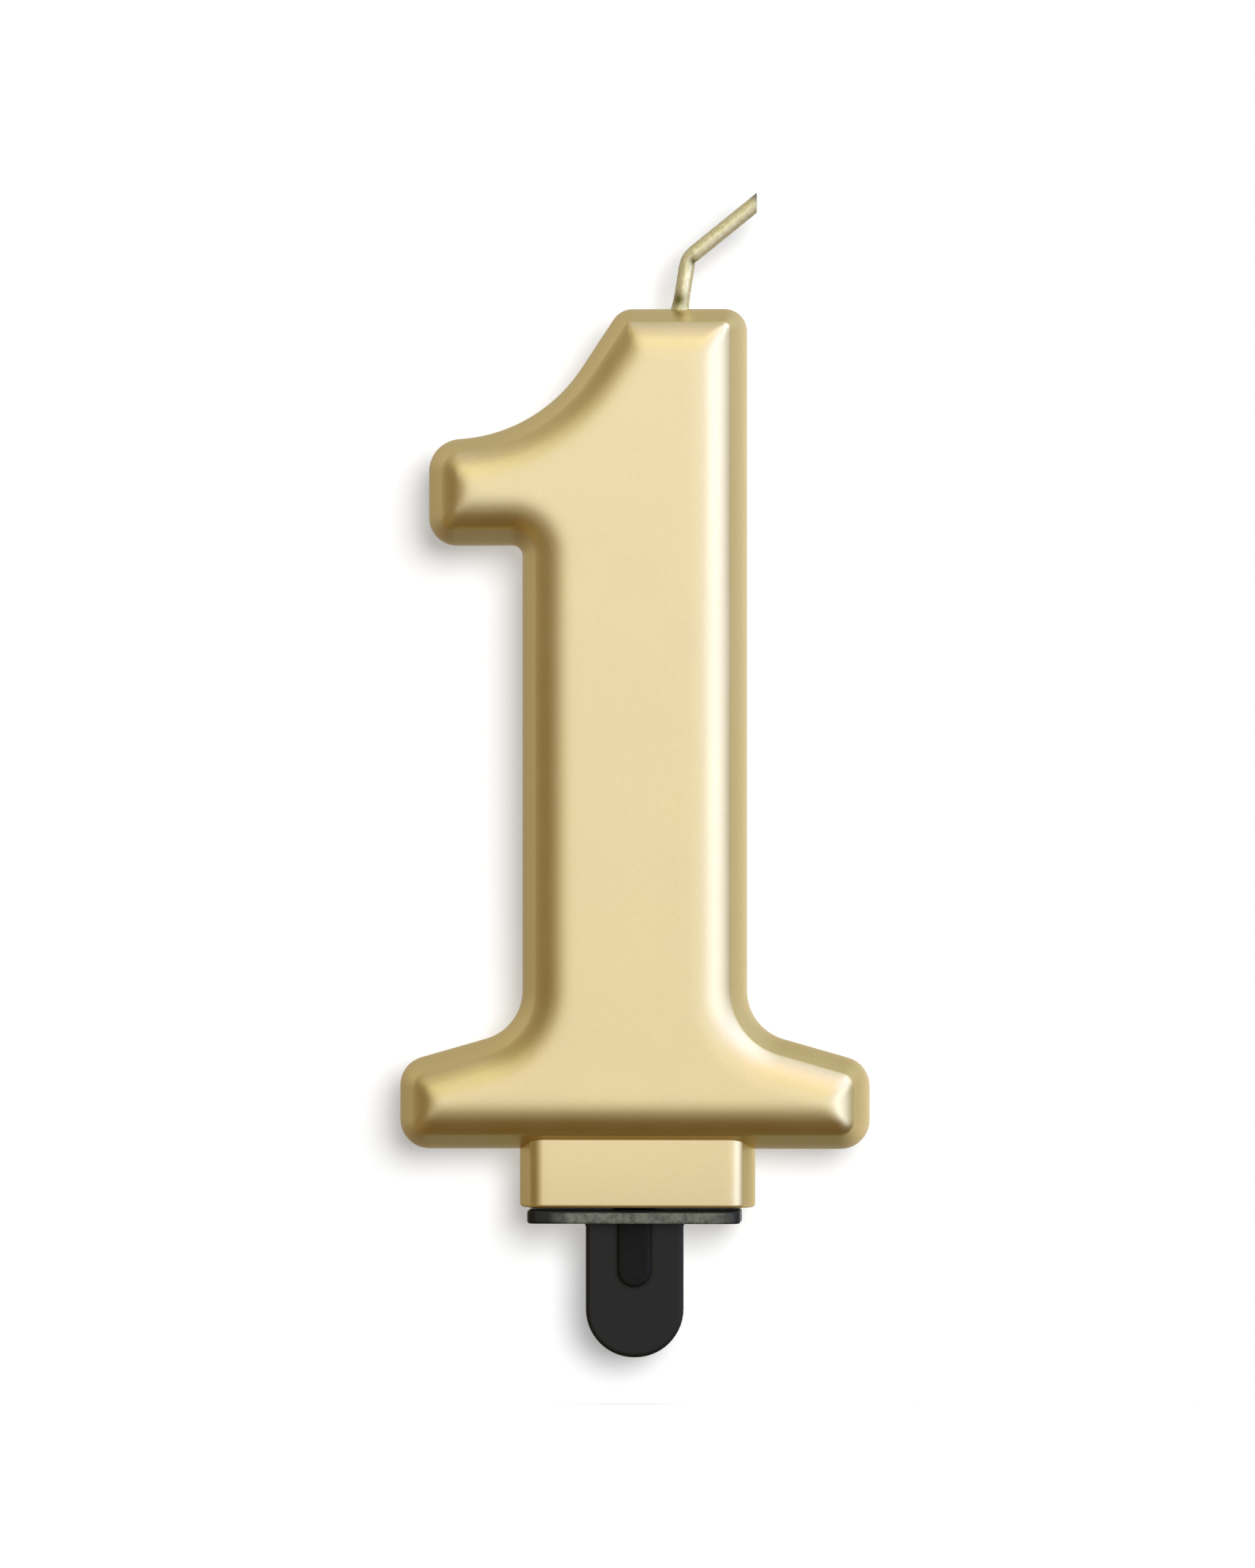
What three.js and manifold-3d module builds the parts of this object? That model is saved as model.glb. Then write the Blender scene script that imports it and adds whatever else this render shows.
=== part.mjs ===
// Numeral cake candle "1": a wax numeral on a plinth, in a gold coat, with a wick and a plastic pick.
// Millimetres. +Z is up, +X is to the right, and the front face looks towards -Y. The origin is the
// centre of the underside of the pick's flange, which sits on the icing.
import * as THREE from 'three';
import { mergeVertices } from 'three/addons/utils/BufferGeometryUtils.js';
import Module from 'manifold-3d';

// Clearance left between pieces that touch on the real candle
const seatGap = 0.3;

// Body as a whole
const bodyHeight = 80;            // underside of the plinth to the top of the numeral
const bodyThickness = 12;         // front face to back face
const coatThickness = 0.6;        // gold outer dip and lacquer

// Stem and top edge of the numeral
const stemWidth = 20.05;
const topEdgeWidth = 11.3;        // flat top edge, from the stem's right side to the flag's slope
const topLeftRadius = 2.0;
const topRightRadius = 2.0;

// Flag, the stroke that leaves the stem at the upper left
const flagReach = 8.35;           // side of the stem to the tip of the flag
const flagLevel = 53.8;           // base line of the numeral to the underside of the flag
const flagTipHeight = 9.3;        // height of the flag at its tip
const flagTopSlope = 5;           // degrees, top of the flag near its tip
const flagRiseSlope = 57;         // degrees, where the flag runs up to the top edge
const flagArcRadius = 14;         // hollow curve between those two
const flagTipTopRadius = 2.9;
const flagTipBottomRadius = 2.5;
const underarmRadius = 0.9;       // inside corner under the flag

// Foot serif of the numeral
const baseWidth = 41.9;
const baseEndHeight = 7.6;        // height of the serif at its two ends
const baseSlope = 16;             // degrees, top of the serif
const baseSweepRadius = 4.5;      // hollow curve between serif and stem
const baseEndRadius = 2.6;

// Relief of the numeral's front and back
const rimInset = 1.3;             // draft of the side wall, from the parting line to its edge
const bevelWidth = 2.75;          // rounded bevel between that edge and the flat face
const bevelDepth = 1.5;

// Plinth under the numeral
const plinthWidth = 21;
const plinthCentre = 0.25;        // the plinth stands a little right of the stem's centre line
const plinthHeight = 5.1;
const plinthThickness = 6.8;
const plinthRimInset = 1.0;
const plinthBevelWidth = 1.3;
const plinthBevelDepth = 0.7;

// Pick, one black moulding: flange, tongue for the cake, and anchor inside the wax
const flangeWidth = 19;
const flangeDepth = 6.2;
const flangeThickness = 1.2;
const flangeCornerRadius = 1.0;
const flangeEdgeRound = 0.4;
const tongueWidth = 8.7;
const tongueLength = 12.0;
const tongueThickness = 1.8;
const tongueEdgeRound = 0.4;
const ribWidth = 3.0;             // short rib that stiffens the tongue where it meets the flange
const ribLength = 5.7;
const ribHeight = 0.5;            // above the tongue's face
const ribEdgeRound = 0.3;
const anchorNeckWidth = 3.8;
const anchorNeckHeight = 4.5;
const anchorHeadWidth = 5.2;
const anchorHeight = 10;
const anchorThickness = 1.8;

// Wick
const wickDiameter = 1.45;
const wickCentre = 4.05;          // sideways place of the wick in the top edge
const wickFootClearance = 2.5;    // wax between the anchor and the foot of the wick
const wickStandHeight = 4.5;      // top edge to the kink
const wickLean = 9;               // degrees to the right, below the kink
const wickTipReach = 6.85;        // sideways from the wick's place to its upright cut
const wickTailRise = 39;          // degrees above level, beyond the kink
const wickKinkRadius = 1.1;

// Fineness of the curved stretches
const cornerSteps = 4;
const sweepSteps = 6;
const flagArcSteps = 8;
const bevelSteps = 4;
const wickSides = 10;
const kinkSteps = 5;
const edgeRoundSteps = 2;
const leastCornerRadius = 0.15;   // sharpest rounded corner left on an inset outline
const endShare = 0.96;            // most of the serif's end height that its bevels may take up

// Levels that several pieces share
const plinthBottom = flangeThickness + seatGap;
const numeralBottom = plinthBottom + plinthHeight;
const bodyTop = plinthBottom + bodyHeight;
const anchorTop = flangeThickness + anchorHeight;
const wickFoot = anchorTop + wickFootClearance;

const wasm = await Module();
wasm.setup();

// Turns closed geometry into a solid that can be joined and cut
function solidOf(geometry) {
  const bare = geometry.clone();
  bare.deleteAttribute('normal');
  bare.deleteAttribute('uv');
  const merged = mergeVertices(bare);
  const vertProperties = new Float32Array(merged.getAttribute('position').array);
  const triVerts = new Uint32Array(merged.getIndex().array);
  return new wasm.Manifold(new wasm.Mesh({ numProp: 3, vertProperties, triVerts }));
}

// Turns a solid back into geometry
function geometryOf(solid) {
  const mesh = solid.getMesh();
  const geometry = new THREE.BufferGeometry();
  geometry.setAttribute('position', new THREE.BufferAttribute(mesh.vertProperties, 3));
  geometry.setIndex(new THREE.BufferAttribute(mesh.triVerts, 1));
  geometry.computeVertexNormals();
  return geometry;
}

// One corner of an outline in the x-z plane, with its fillet
function corner(x, z, radius, steps) {
  return { point: new THREE.Vector2(x, z), radius, steps };
}

// Point where two lines cross, each given by a point and its slope angle in degrees
function crossing(first, firstSlope, second, secondSlope) {
  const firstRise = Math.tan(THREE.MathUtils.degToRad(firstSlope));
  const secondRise = Math.tan(THREE.MathUtils.degToRad(secondSlope));
  const x = (second.y - first.y + firstRise * first.x - secondRise * second.x) / (firstRise - secondRise);
  return new THREE.Vector2(x, first.y + firstRise * (x - first.x));
}

// Corners of the numeral's outline at the parting line, anticlockwise seen from the front
function numeralCorners() {
  const stemSide = stemWidth / 2;
  const baseSide = baseWidth / 2;
  const endTop = numeralBottom + baseEndHeight;
  const baseRise = Math.tan(THREE.MathUtils.degToRad(baseSlope));
  const sweepTop = endTop + (baseSide - stemSide) * baseRise;
  const flagUnderside = numeralBottom + flagLevel;
  const flagTip = -stemSide - flagReach;
  const tipTop = new THREE.Vector2(flagTip, flagUnderside + flagTipHeight);
  const topLeft = new THREE.Vector2(stemSide - topEdgeWidth, bodyTop);
  const hollow = crossing(tipTop, flagTopSlope, topLeft, flagRiseSlope);
  return [
    corner(baseSide, numeralBottom, baseEndRadius, cornerSteps),
    corner(baseSide, endTop, baseEndRadius, cornerSteps),
    corner(stemSide, sweepTop, baseSweepRadius, sweepSteps),
    corner(stemSide, bodyTop, topRightRadius, cornerSteps),
    corner(topLeft.x, topLeft.y, topLeftRadius, cornerSteps),
    corner(hollow.x, hollow.y, flagArcRadius, flagArcSteps),
    corner(tipTop.x, tipTop.y, flagTipTopRadius, cornerSteps),
    corner(flagTip, flagUnderside, flagTipBottomRadius, cornerSteps),
    corner(-stemSide, flagUnderside, underarmRadius, cornerSteps),
    corner(-stemSide, sweepTop, baseSweepRadius, sweepSteps),
    corner(-baseSide, endTop, baseEndRadius, cornerSteps),
    corner(-baseSide, numeralBottom, baseEndRadius, cornerSteps),
  ];
}

// Unit directions of the edges that enter and leave each corner, with their inward normals
function edgesAt(corners, index) {
  const count = corners.length;
  const here = corners[index].point;
  const before = here.clone().sub(corners[(index + count - 1) % count].point);
  const after = corners[(index + 1) % count].point.clone().sub(here);
  const room = Math.min(before.length(), after.length()) / 2;
  const enter = before.normalize();
  const leave = after.normalize();
  const enterNormal = new THREE.Vector2(-enter.y, enter.x);
  const leaveNormal = new THREE.Vector2(-leave.y, leave.x);
  return { room, enter, enterNormal, leaveNormal, turn: Math.atan2(enter.cross(leave), enter.dot(leave)) };
}

// Moves an outline's edges inwards: outer corners get tighter and inside corners get wider
function insetCorners(corners, inset) {
  return corners.map((item, index) => {
    const { enterNormal, leaveNormal, turn } = edgesAt(corners, index);
    const shift = enterNormal.clone().add(leaveNormal);
    shift.multiplyScalar(inset / (1 + enterNormal.dot(leaveNormal)));
    const point = item.point.clone().add(shift);
    const radius = turn > 0 ? Math.max(item.radius - inset, leastCornerRadius) : item.radius + inset;
    return { point, radius, steps: item.steps };
  });
}

// Points along an outline whose corners are filleted, as many at any inset
function filletedPoints(corners) {
  return corners.flatMap((item, index) => {
    const { room, enter, enterNormal, turn } = edgesAt(corners, index);
    const halfTurn = Math.tan(Math.abs(turn) / 2);
    const reach = Math.min(item.radius * halfTurn, room);
    const start = item.point.clone().addScaledVector(enter, -reach);
    const centre = start.clone().addScaledVector(enterNormal, Math.sign(turn) * reach / halfTurn);
    return Array.from({ length: item.steps + 1 }, (_, step) => (
      start.clone().rotateAround(centre, turn * step / item.steps)
    ));
  });
}

// Largest inset that leaves the serif's end faces some height
function greatestInset(corners) {
  const low = edgesAt(corners, 0).turn;
  const high = edgesAt(corners, 1).turn;
  const endHeight = corners[1].point.y - corners[0].point.y;
  return endShare * endHeight / (Math.tan(low / 2) + Math.tan(high / 2));
}

// Section of a relief from its parting line to its flat face, as insets and depths. The side wall
// is straight with draft, and the bevel is an arc tangent to the face. A skin greater than 0 gives
// the parallel section that lies that far inside.
function reliefSection(relief, skin) {
  const { halfThickness, rim, bevel, drop } = relief;
  const radius = (bevel * bevel + drop * drop) / (2 * drop);
  const flatInset = rim + bevel;
  const arcCentre = halfThickness - radius;
  const draft = rim / (halfThickness - drop);
  const wallInset = skin * Math.hypot(1, draft);
  const innerRadius = radius - skin;
  const lean = (flatInset - wallInset - draft * arcCentre) / (innerRadius * Math.hypot(1, draft));
  const edgeAngle = Math.asin(lean) - Math.atan(draft);
  const arc = Array.from({ length: bevelSteps + 1 }, (_, step) => {
    const angle = edgeAngle * (1 - step / bevelSteps);
    return {
      inset: flatInset - innerRadius * Math.sin(angle),
      depth: arcCentre + innerRadius * Math.cos(angle),
    };
  });
  return [{ inset: wallInset, depth: 0 }, ...arc];
}

// Closed skin over matched rings of points, ordered from back to front, with a flat cap at each end
function loft(rings, capOutline) {
  const count = capOutline.length;
  const positions = rings.flat().flatMap((point) => [point.x, point.y, point.z]);
  const faces = [];
  rings.slice(1).forEach((_, ring) => {
    for (let side = 0; side < count; side += 1) {
      const next = (side + 1) % count;
      const back = ring * count;
      const front = back + count;
      faces.push(back + side, back + next, front + side);
      faces.push(back + next, front + next, front + side);
    }
  });
  const lastRing = (rings.length - 1) * count;
  THREE.ShapeUtils.triangulateShape(capOutline, []).forEach(([a, b, c]) => {
    faces.push(lastRing + a, lastRing + b, lastRing + c);
    faces.push(a, c, b);
  });
  const geometry = new THREE.BufferGeometry();
  geometry.setAttribute('position', new THREE.Float32BufferAttribute(positions, 3));
  geometry.setIndex(faces);
  return geometry;
}

// The numeral as a solid, or the parallel solid that lies a skin's thickness inside it
function numeralSolid(skin) {
  const corners = numeralCorners();
  const flatInset = Math.min(rimInset + bevelWidth, greatestInset(corners));
  const relief = {
    halfThickness: bodyThickness / 2,
    rim: rimInset,
    bevel: flatInset - rimInset,
    drop: bevelDepth,
  };
  const section = reliefSection(relief, skin);
  const front = section.map(({ inset, depth }) => ({ inset, y: -depth }));
  const back = section.slice(1).map(({ inset, depth }) => ({ inset, y: depth })).reverse();
  const stations = [...back, ...front];
  const outlines = stations.map(({ inset }) => filletedPoints(insetCorners(corners, inset)));
  const rings = outlines.map((outline, index) => (
    outline.map((point) => new THREE.Vector3(point.x, stations[index].y, point.y))
  ));
  return solidOf(loft(rings, outlines[outlines.length - 1]));
}

// The plinth as a solid that reaches into the numeral, or the parallel solid inside it
function plinthSolid(skin, bottom) {
  const relief = {
    halfThickness: plinthThickness / 2,
    rim: plinthRimInset,
    bevel: plinthBevelWidth,
    drop: plinthBevelDepth,
  };
  const section = reliefSection(relief, skin);
  const rightBack = section.map(({ inset, depth }) => new THREE.Vector2(plinthWidth / 2 - inset, depth));
  const rightFront = rightBack.slice(1).map(({ x, y }) => new THREE.Vector2(x, -y)).reverse();
  const rightSide = [...rightFront, ...rightBack];
  const leftSide = rightSide.map(({ x, y }) => new THREE.Vector2(-x, -y));
  const outline = new THREE.Shape([...rightSide, ...leftSide]);
  const top = numeralBottom + rimInset + bevelWidth;
  const geometry = new THREE.ExtrudeGeometry(outline, { depth: top - bottom, bevelEnabled: false });
  geometry.translate(plinthCentre, 0, bottom);
  return solidOf(geometry);
}

// Upright plate cut from an outline in the x-z plane, centred on the parting plane
function plate(outline, thickness, edgeRound) {
  const geometry = new THREE.ExtrudeGeometry(outline, {
    depth: thickness - 2 * edgeRound,
    bevelEnabled: edgeRound > 0,
    bevelThickness: edgeRound,
    bevelSize: edgeRound,
    bevelOffset: -edgeRound,
    bevelSegments: edgeRoundSteps,
    curveSegments: 2 * sweepSteps,
  });
  geometry.rotateX(Math.PI / 2);
  geometry.translate(0, thickness / 2 - edgeRound, 0);
  return solidOf(geometry);
}

// Strip that hangs from the flange and ends in a half round
function hangingStrip(width, length) {
  const outline = new THREE.Shape();
  outline.moveTo(-width / 2, flangeThickness / 2);
  outline.lineTo(-width / 2, -length + width / 2);
  outline.absarc(0, -length + width / 2, width / 2, Math.PI, 2 * Math.PI, false);
  outline.lineTo(width / 2, flangeThickness / 2);
  outline.closePath();
  return outline;
}

// Anchor inside the wax: a neck and a wider head, grown all round by a clearance for its pocket
function anchorOutline(clearance, bottom) {
  const neck = anchorNeckWidth / 2 + clearance;
  const head = anchorHeadWidth / 2 + clearance;
  const shoulder = flangeThickness + anchorNeckHeight - clearance;
  const headTop = anchorTop + clearance;
  const outline = new THREE.Shape();
  outline.moveTo(-neck, bottom);
  outline.lineTo(neck, bottom);
  outline.lineTo(neck, shoulder);
  outline.lineTo(head, shoulder + head - neck);
  outline.lineTo(head, headTop - head);
  outline.absarc(0, headTop - head, head, 0, Math.PI, false);
  outline.lineTo(-head, shoulder + head - neck);
  outline.lineTo(-neck, shoulder);
  outline.closePath();
  return outline;
}

// Flange: a flat plate with rounded corners and edges
function flangeSolid() {
  const right = flangeWidth / 2 - flangeCornerRadius;
  const back = flangeDepth / 2 - flangeCornerRadius;
  const outline = new THREE.Shape();
  outline.absarc(right, back, flangeCornerRadius, 0, Math.PI / 2, false);
  outline.absarc(-right, back, flangeCornerRadius, Math.PI / 2, Math.PI, false);
  outline.absarc(-right, -back, flangeCornerRadius, Math.PI, 1.5 * Math.PI, false);
  outline.absarc(right, -back, flangeCornerRadius, 1.5 * Math.PI, 2 * Math.PI, false);
  const geometry = new THREE.ExtrudeGeometry(outline, {
    depth: flangeThickness - 2 * flangeEdgeRound,
    bevelThickness: flangeEdgeRound,
    bevelSize: flangeEdgeRound,
    bevelOffset: -flangeEdgeRound,
    bevelSegments: edgeRoundSteps,
    curveSegments: cornerSteps,
  });
  geometry.translate(0, 0, flangeEdgeRound);
  return solidOf(geometry);
}

function pickGeometry() {
  const tongue = plate(hangingStrip(tongueWidth, tongueLength), tongueThickness, tongueEdgeRound);
  const rib = plate(hangingStrip(ribWidth, ribLength), tongueThickness + 2 * ribHeight, ribEdgeRound);
  const anchor = plate(anchorOutline(0, flangeThickness / 2), anchorThickness, 0);
  return geometryOf(flangeSolid().add(tongue).add(rib).add(anchor));
}

// Upright round hole for the wick, from a level up through the top of the body
function wickTunnel(bottom) {
  const reach = bodyTop + bodyThickness - bottom;
  const radius = wickDiameter / 2 + seatGap;
  const geometry = new THREE.CylinderGeometry(radius, radius, reach, wickSides);
  geometry.rotateX(Math.PI / 2);
  geometry.translate(wickCentre, 0, bottom + reach / 2);
  return solidOf(geometry);
}

// A path that is stepped at its own points, so that straight runs take one step
class SteppedPath extends THREE.Curve {
  constructor(points) {
    super();
    this.points = points;
  }

  getPoint(share, target = new THREE.Vector3()) {
    const place = share * (this.points.length - 1);
    const index = Math.min(Math.floor(place), this.points.length - 2);
    return target.lerpVectors(this.points[index], this.points[index + 1], place - index);
  }

  getPointAt(share, target) {
    return this.getPoint(share, target);
  }

  getTangentAt(share, target = new THREE.Vector3()) {
    const last = this.points.length - 1;
    const index = Math.round(share * last);
    const here = this.points[index];
    const before = here.clone().sub(this.points[Math.max(index - 1, 0)]).normalize();
    const after = this.points[Math.min(index + 1, last)].clone().sub(here).normalize();
    return target.addVectors(before, after).normalize();
  }
}

// Route of the wick: straight up through the wax, then leaning, kinked and out past its cut tip
function wickRoute() {
  const lean = THREE.MathUtils.degToRad(wickLean);
  const rise = THREE.MathUtils.degToRad(wickTailRise);
  const exit = new THREE.Vector2(wickCentre, bodyTop);
  const kink = new THREE.Vector2(wickCentre + wickStandHeight * Math.tan(lean), bodyTop + wickStandHeight);
  const stand = kink.clone().sub(exit).normalize();
  const tail = new THREE.Vector2(Math.cos(rise), Math.sin(rise));
  const bend = stand.angleTo(tail);
  const reach = wickKinkRadius * Math.tan(bend / 2);
  const start = kink.clone().addScaledVector(stand, -reach);
  const side = new THREE.Vector2(stand.y, -stand.x);
  const centre = start.clone().addScaledVector(side, wickKinkRadius);
  const turned = Array.from({ length: kinkSteps + 1 }, (_, step) => (
    start.clone().rotateAround(centre, -bend * step / kinkSteps)
  ));
  const tailLength = (wickCentre + wickTipReach + wickDiameter - kink.x) / Math.cos(rise);
  const end = kink.clone().addScaledVector(tail, tailLength);
  const foot = new THREE.Vector2(wickCentre, wickFoot);
  return [foot, exit, ...turned, end].map((point) => new THREE.Vector3(point.x, 0, point.y));
}

// Wick: a round bar along its route, snipped upright at the tip
function wickGeometry() {
  const section = new THREE.Shape(Array.from({ length: wickSides }, (_, side) => {
    const angle = 2 * Math.PI * side / wickSides;
    return new THREE.Vector2(Math.cos(angle), Math.sin(angle)).multiplyScalar(wickDiameter / 2);
  }));
  const route = wickRoute();
  const bar = new THREE.ExtrudeGeometry(section, {
    steps: route.length - 1,
    extrudePath: new SteppedPath(route),
    bevelEnabled: false,
  });
  const offcut = new THREE.BoxGeometry(bodyThickness, bodyThickness, bodyHeight);
  offcut.translate(wickCentre + wickTipReach + bodyThickness / 2, 0, bodyTop);
  return geometryOf(solidOf(bar).subtract(solidOf(offcut)));
}

// Gold coat: everything between the outer form and the parallel form one coat inside, open below
function coatGeometry() {
  const outer = numeralSolid(0).add(plinthSolid(0, plinthBottom));
  const inner = numeralSolid(coatThickness).add(plinthSolid(coatThickness, plinthBottom - plinthHeight));
  return geometryOf(outer.subtract(inner).subtract(wickTunnel(bodyTop - bodyThickness)));
}

// Wax core: one pour inside the coat, cast round the wick and the anchor of the pick
function coreGeometry() {
  const skin = coatThickness + seatGap;
  const body = numeralSolid(skin).add(plinthSolid(skin, plinthBottom));
  const pocketThickness = anchorThickness + 2 * seatGap;
  const pocket = plate(anchorOutline(seatGap, plinthBottom - seatGap), pocketThickness, 0);
  return geometryOf(body.subtract(wickTunnel(wickFoot - seatGap)).subtract(pocket));
}

function part(name, geometry, colour, roughness, metalness) {
  const material = new THREE.MeshStandardMaterial({ color: colour, roughness, metalness });
  const mesh = new THREE.Mesh(geometry, material);
  mesh.name = name;
  return mesh;
}

const candle = new THREE.Group();
candle.add(
  part('wax_core', coreGeometry(), '#f4ead0', 0.55, 0),
  part('gold_coat', coatGeometry(), '#e6d09a', 0.35, 0.9),
  part('wick', wickGeometry(), '#cdb877', 0.5, 0.6),
  part('pick', pickGeometry(), '#1c1b19', 0.4, 0),
);

export default candle;
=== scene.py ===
import bpy
import numpy as np
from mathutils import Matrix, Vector
from mathutils.geometry import delaunay_2d_cdt


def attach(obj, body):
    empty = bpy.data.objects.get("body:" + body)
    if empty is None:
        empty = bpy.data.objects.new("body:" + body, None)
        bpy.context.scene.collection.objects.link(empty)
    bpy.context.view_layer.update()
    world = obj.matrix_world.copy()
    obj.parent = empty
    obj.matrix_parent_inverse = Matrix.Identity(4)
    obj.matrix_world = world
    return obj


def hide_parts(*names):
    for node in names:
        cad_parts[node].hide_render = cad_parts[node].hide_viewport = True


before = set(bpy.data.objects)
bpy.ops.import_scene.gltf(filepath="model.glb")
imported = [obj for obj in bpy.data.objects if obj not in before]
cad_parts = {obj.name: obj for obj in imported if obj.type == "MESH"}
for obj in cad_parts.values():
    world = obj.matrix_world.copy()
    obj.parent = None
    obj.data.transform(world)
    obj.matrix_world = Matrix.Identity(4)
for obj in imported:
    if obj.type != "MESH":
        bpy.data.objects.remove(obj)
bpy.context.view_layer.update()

millimetre = 0.001

# Camera, where the photograph was taken from
cameraView = {
    "target": (-0.65, 0.0, 39.13),    # middle of the photograph, on the parting plane
    "azimuth": 2.5,                   # a little to the right of straight ahead
    "elevation": 0.0,
    "distance": 900.0,
    "frameHeight": 139.9,             # height of the frame at the target
    "nearest": 10.0,                  # limits of what it sees
    "farthest": 10000.0,
}


# Camera at the given distance from the target, turned towards it. The lens is the sensor's width
# times the distance over the frame's height, as the frame is higher than it is wide.
def addCamera(view):
    azimuth, elevation = np.radians([view["azimuth"], view["elevation"]])
    outward = np.array([
        np.sin(azimuth) * np.cos(elevation),
        -np.cos(azimuth) * np.cos(elevation),
        np.sin(elevation),
    ])
    data = bpy.data.cameras.new("camera")
    data.lens = data.sensor_width * view["distance"] / view["frameHeight"]
    data.clip_start = view["nearest"] * millimetre
    data.clip_end = view["farthest"] * millimetre
    camera = bpy.data.objects.new("camera", data)
    camera.location = (np.array(view["target"]) + view["distance"] * outward) * millimetre
    camera.rotation_euler = (np.pi / 2 - elevation, 0, azimuth)
    bpy.context.scene.collection.objects.link(camera)
    bpy.context.scene.camera = camera


addCamera(cameraView)
bpy.context.scene.view_settings.view_transform = "Standard"
print("camera placed")


# Ring of points round an outline whose edges are moved inwards. A corner is an arc of equal angle
# steps: an outer one has its radius less the inset, an inside one its radius plus the inset. The
# straight run between two arcs is cut into equal steps, as many at any inset.
def ringOf(corners, inset, spacing, leastRadius=0.35, leastArcSteps=8):
    corners = np.array(corners, float)
    points = corners[:, :2]
    leave = np.roll(points, -1, axis=0) - points
    length = np.linalg.norm(leave, axis=1)
    leave = leave / length[:, None]
    enter = np.roll(leave, 1, axis=0)
    enterNormal = np.stack([-enter[:, 1], enter[:, 0]], axis=1)
    leaveNormal = np.stack([-leave[:, 1], leave[:, 0]], axis=1)
    cosine = (enter * leave).sum(axis=1)
    turn = np.arctan2(enter[:, 0] * leave[:, 1] - enter[:, 1] * leave[:, 0], cosine)
    moved = points + (enterNormal + leaveNormal) * (inset / (1 + cosine))[:, None]
    tightened = np.maximum(corners[:, 2] - inset, np.minimum(leastRadius, corners[:, 2]))
    radius = np.where(turn > 0, tightened, corners[:, 2] + inset)
    start = moved - enter * (radius * np.tan(np.abs(turn) / 2))[:, None]
    centre = start + enterNormal * (np.sign(turn) * radius)[:, None]
    arm = start - centre
    arcSteps = np.ceil(np.abs(turn) * corners[:, 2] / spacing)
    arcSteps = np.maximum(arcSteps, leastArcSteps).astype(int)
    runSteps = np.maximum(np.ceil(length / spacing), 1).astype(int)
    arcs = []
    for index, steps in enumerate(arcSteps):
        angle = turn[index] * np.linspace(0, 1, steps + 1)
        swung = np.outer(np.cos(angle), arm[index])
        swung += np.outer(np.sin(angle), [-arm[index, 1], arm[index, 0]])
        arcs.append(centre[index] + swung)
    stretches = []
    for index, steps in enumerate(runSteps):
        first, last = arcs[index][-1], arcs[(index + 1) % len(arcs)][0]
        share = np.linspace(0, 1, steps + 1)[1:-1, None]
        stretches += [arcs[index], first + share * (last - first)]
    return np.concatenate(stretches)


# Shortest distance from each point to the straight steps of an outline, a batch at a time: the
# point is dropped onto each step, and no farther than its ends
def distanceTo(starts, steps, points, batch=10000):
    distances = []
    for part in np.array_split(points, len(points) // batch + 1):
        away = part[:, None] - starts
        share = np.clip((away * steps).sum(axis=2) / (steps * steps).sum(axis=1), 0, 1)
        distances.append(np.linalg.norm(away - share[..., None] * steps, axis=2).min(axis=1))
    return np.concatenate(distances)


# From each point of a ring to the next
def stepsOf(ring):
    return np.roll(ring, -1, axis=0) - ring


# Section of a moulded relief as insets and depths, from the parting line to its flat face: a
# wall whose inset grows with its depth to the power of swell, a small rounded edge, and an arc
# that runs out level with the face
def reliefSection(shape):
    edge = np.array([shape["rim"], shape["halfThickness"] - shape["drop"]])
    radius = (shape["bevel"] ** 2 + shape["drop"] ** 2) / (2 * shape["drop"])
    wallEnd = edge * (1 - shape["edgeRound"] / np.linalg.norm(edge))
    share = np.array(shape["wallRows"])
    wall = np.stack([share ** shape["swell"], share], axis=1) * wallEnd
    steepest = np.arcsin(shape["bevel"] / radius) - shape["edgeRound"] / radius
    angle = np.linspace(steepest, 0, shape["arcRows"])
    arc = np.stack([
        shape["rim"] + shape["bevel"] - radius * np.sin(angle),
        shape["halfThickness"] - radius * (1 - np.cos(angle)),
    ], axis=1)
    share = np.linspace(0, 1, shape["edgeRows"])[:-1, None]
    turned = (1 - share) ** 2 * wallEnd + 2 * share * (1 - share) * edge + share ** 2 * arc[0]
    return np.concatenate([wall, turned, arc])


# Section of a plate with rounded edges: a straight wall, a quarter circle and a lip of the face
def plateSection(halfThickness, edgeRound, arcRows=6, lip=0.08):
    angle = np.linspace(0, np.pi / 2, arcRows)
    arc = np.stack([
        edgeRound * (1 - np.cos(angle)),
        halfThickness - edgeRound * (1 - np.sin(angle)),
    ], axis=1)
    return np.concatenate([[[0, 0]], arc, [[edgeRound + lip, halfThickness]]])


# Depth of each point of a face: for each group of edges the section's depth at the point's
# distance from them, and the least of these, averaged over a small disc round the point, which
# softens the mitres where two bevels meet. The disc shrinks towards the rim.
def softenedDepth(points, groups, rim, softness, spokes=12, shareOfWay=0.7):
    turn = np.arange(spokes) * 2 * np.pi / spokes
    rose = np.stack([np.cos(turn), np.sin(turn)], axis=1)
    disc = np.concatenate([[[0, 0]], rose[::2] / 2, rose])
    nearest = np.min([distanceTo(starts, steps, points) for starts, steps, _ in groups], axis=0)
    radius = np.clip(shareOfWay * (nearest - rim), 0, softness)
    spots = (points[:, None] + radius[:, None, None] * disc).reshape(-1, 2)
    depths = [
        np.interp(distanceTo(starts, steps, spots), section[:, 0], section[:, 1])
        for starts, steps, section in groups
    ]
    return np.min(depths, axis=0).reshape(len(points), len(disc)).mean(axis=1)


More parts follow.
